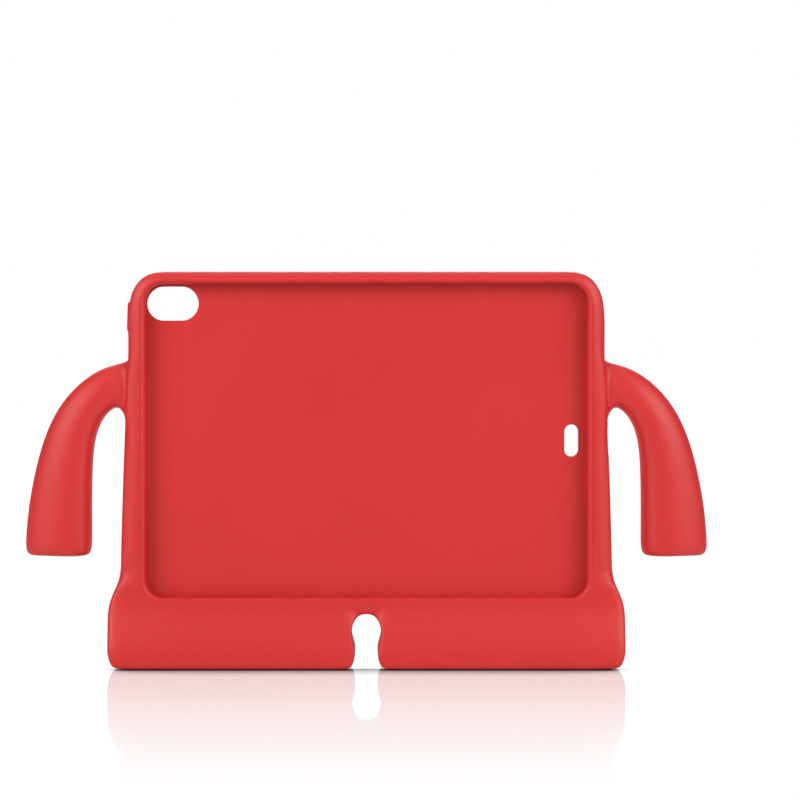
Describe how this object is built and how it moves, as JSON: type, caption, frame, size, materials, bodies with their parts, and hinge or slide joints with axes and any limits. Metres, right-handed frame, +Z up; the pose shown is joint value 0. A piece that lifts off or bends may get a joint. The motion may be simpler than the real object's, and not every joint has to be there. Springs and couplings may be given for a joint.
{
  "type": "kids tablet case",
  "caption": "One-piece moulded foam case for a child's tablet, with a screen window, two hanging arms as handles and two wide feet to stand on.",
  "frame": {"origin": "middle of the footprint, on the surface that the feet stand on", "axes": "+X across the width, +Y from the window to the back, +Z up"},
  "size_m": [0.3762, 0.0513, 0.2202],
  "materials": {
    "red_foam": "matte closed-cell EVA foam"
  },
  "bodies": {
    "root": {"foam_case": "red_foam"}
  },
  "joints": []
}
